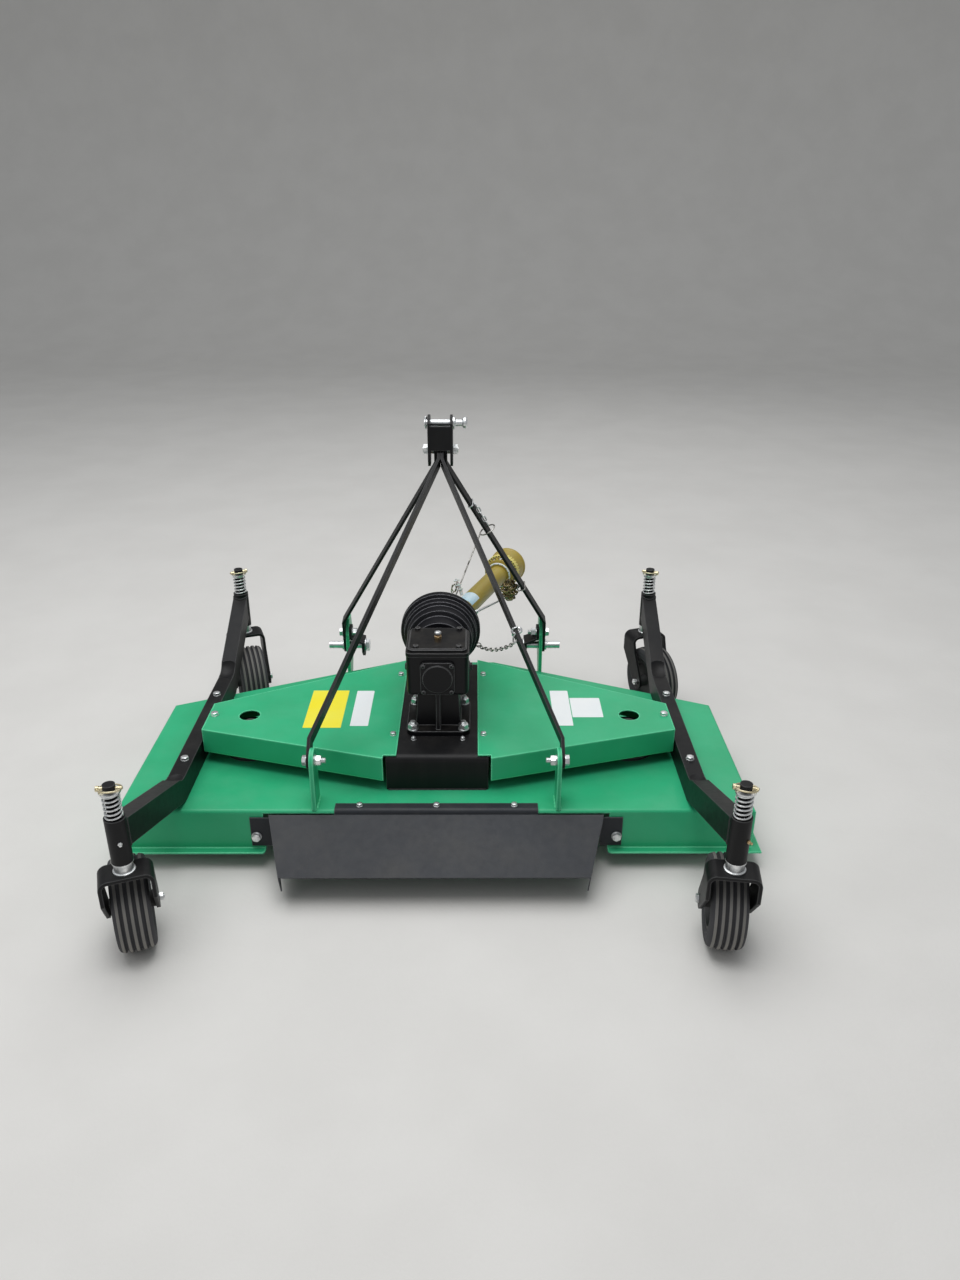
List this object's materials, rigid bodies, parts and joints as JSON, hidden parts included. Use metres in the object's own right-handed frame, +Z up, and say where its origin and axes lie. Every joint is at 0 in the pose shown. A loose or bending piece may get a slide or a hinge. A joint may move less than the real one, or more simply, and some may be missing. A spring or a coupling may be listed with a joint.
{
  "type": "finishing mower",
  "caption": "Rear-mounted rotary finishing mower with a three-point hitch mast, caster wheels, belt covers, a central gearbox and its telescoping driveline.",
  "frame": {"origin": "on the ground, in the middle of the overall width and length at rest", "axes": "+X to the machine's right, +Y forward to the tractor, +Z up"},
  "size_m": [1.55, 1.3852, 0.94],
  "materials": {
    "green_paint": "satin green paint",
    "black_paint": "satin black paint",
    "grey_paint": "dark grey paint",
    "zinc": "zinc plated",
    "bare_steel": "bare steel",
    "cast_iron": "cast iron",
    "belt_rubber": "belt rubber",
    "tyre_rubber": "tyre rubber",
    "black_plastic": "moulded black plastic",
    "yellow_plastic": "moulded yellow plastic"
  },
  "bodies": {
    "frame": {"deck": "green_paint", "hitch_lugs": "green_paint", "discharge_guard": "grey_paint", "wheel_arms": "black_paint", "belt_covers": "green_paint", "cover_posts": "black_paint", "gearbox_bridge": "black_paint", "gearbox_housing": "black_paint", "gearbox_covers": "black_paint", "input_bell": "black_plastic", "front_braces": "black_paint", "rear_braces": "black_paint", "clevis_bolt": "zinc", "hitch_cheeks": "black_paint", "lower_pins": "zinc", "spindle_housings": "cast_iron", "drive_belt": "belt_rubber", "pto_inner_guard": "yellow_plastic", "shaft_holder": "zinc", "pivot_springs": "zinc", "pivot_washers": "zinc"},
    "blade_rotor_left": {"rotor_left": "cast_iron", "blade_left": "bare_steel"},
    "blade_rotor_middle": {"rotor_middle": "cast_iron", "blade_middle": "bare_steel"},
    "blade_rotor_right": {"rotor_right": "cast_iron", "blade_right": "bare_steel"},
    "gearbox_pulley": {"drive_pulley": "cast_iron"},
    "mast_clevis": {"top_clevis": "black_paint", "top_pin": "zinc"},
    "shaft_inner": {"pto_inner_shaft": "bare_steel"},
    "shaft_guard": {"pto_outer_guard": "yellow_plastic"},
    "shaft_outer": {"pto_outer_shaft": "bare_steel"},
    "caster_rear_left": {"fork_rear_left": "black_paint", "axle_rear_left": "zinc"},
    "wheel_rear_left": {"hub_rear_left": "black_plastic", "tyre_rear_left": "tyre_rubber"},
    "caster_rear_right": {"fork_rear_right": "black_paint", "axle_rear_right": "zinc"},
    "wheel_rear_right": {"hub_rear_right": "black_plastic", "tyre_rear_right": "tyre_rubber"},
    "caster_front_left": {"fork_front_left": "black_paint", "axle_front_left": "zinc"},
    "wheel_front_left": {"hub_front_left": "black_plastic", "tyre_front_left": "tyre_rubber"},
    "caster_front_right": {"fork_front_right": "black_paint", "axle_front_right": "zinc"},
    "wheel_front_right": {"hub_front_right": "black_plastic", "tyre_front_right": "tyre_rubber"}
  },
  "joints": [
    {"name": "blade_spin_left", "type": "hinge", "parent": "frame", "child": "blade_rotor_left", "pos_m": [-0.488, -0.04211, 0.066], "axis": [0, 0, 1], "continuous": true},
    {"name": "blade_spin_middle", "type": "hinge", "parent": "frame", "child": "blade_rotor_middle", "pos_m": [0, 0.17988, 0.066], "axis": [0, 0, 1], "continuous": true},
    {"name": "blade_spin_right", "type": "hinge", "parent": "frame", "child": "blade_rotor_right", "pos_m": [0.488, -0.04211, 0.066], "axis": [0, 0, 1], "continuous": true},
    {"name": "gearbox_pulley_spin", "type": "hinge", "parent": "frame", "child": "gearbox_pulley", "pos_m": [0, -0.05912, 0.201], "axis": [0, 0, 1], "continuous": true},
    {"name": "swivel_rear_left", "type": "hinge", "parent": "frame", "child": "caster_rear_left", "pos_m": [-0.618, -0.64611, 0.235], "axis": [0, 0, 1], "continuous": true},
    {"name": "roll_rear_left", "type": "hinge", "parent": "caster_rear_left", "child": "wheel_rear_left", "pos_m": [-0.63989, -0.58598, 0.102], "axis": [0.9397, 0.342, 0], "continuous": true},
    {"name": "swivel_rear_right", "type": "hinge", "parent": "frame", "child": "caster_rear_right", "pos_m": [0.618, -0.64611, 0.235], "axis": [0, 0, 1], "continuous": true},
    {"name": "roll_rear_right", "type": "hinge", "parent": "caster_rear_right", "child": "wheel_rear_right", "pos_m": [0.62691, -0.58274, 0.102], "axis": [0.9903, -0.1392, 0], "continuous": true},
    {"name": "swivel_front_left", "type": "hinge", "parent": "frame", "child": "caster_front_left", "pos_m": [-0.618, 0.50789, 0.235], "axis": [0, 0, 1], "continuous": true},
    {"name": "roll_front_left", "type": "hinge", "parent": "caster_front_left", "child": "wheel_front_left", "pos_m": [-0.59611, 0.44775, 0.102], "axis": [-0.9397, -0.342, 0], "continuous": true},
    {"name": "swivel_front_right", "type": "hinge", "parent": "frame", "child": "caster_front_right", "pos_m": [0.618, 0.50789, 0.235], "axis": [0, 0, 1], "continuous": true},
    {"name": "roll_front_right", "type": "hinge", "parent": "caster_front_right", "child": "wheel_front_right", "pos_m": [0.63884, 0.44737, 0.102], "axis": [-0.9455, -0.3256, 0], "continuous": true},
    {"name": "top_clevis_tilt", "type": "hinge", "parent": "frame", "child": "mast_clevis", "pos_m": [0, 0.33088, 0.85], "axis": [-1, 0, 0], "range_deg": [0, 80]},
    {"name": "shaft_spin", "type": "hinge", "parent": "frame", "child": "shaft_inner", "pos_m": [0, 0.11389, 0.415], "axis": [0.3468, 0.9376, -0.0227], "continuous": true},
    {"name": "shaft_telescope", "type": "slide", "parent": "frame", "child": "shaft_guard", "axis": [0.3468, 0.9376, -0.0227], "range_m": [-0.04, 0.1]},
    {"name": "shaft_outer_spin", "type": "hinge", "parent": "shaft_guard", "child": "shaft_outer", "pos_m": [0.18903, 0.6249, 0.40264], "axis": [0.3468, 0.9376, -0.0227], "continuous": true}
  ],
  "couplings": [
    {"joint": "blade_spin_left", "follows": "gearbox_pulley_spin", "ratio": 1.9608},
    {"joint": "blade_spin_middle", "follows": "gearbox_pulley_spin", "ratio": 1.9608},
    {"joint": "blade_spin_right", "follows": "gearbox_pulley_spin", "ratio": 1.9608},
    {"joint": "shaft_outer_spin", "follows": "shaft_spin", "ratio": 1}
  ]
}
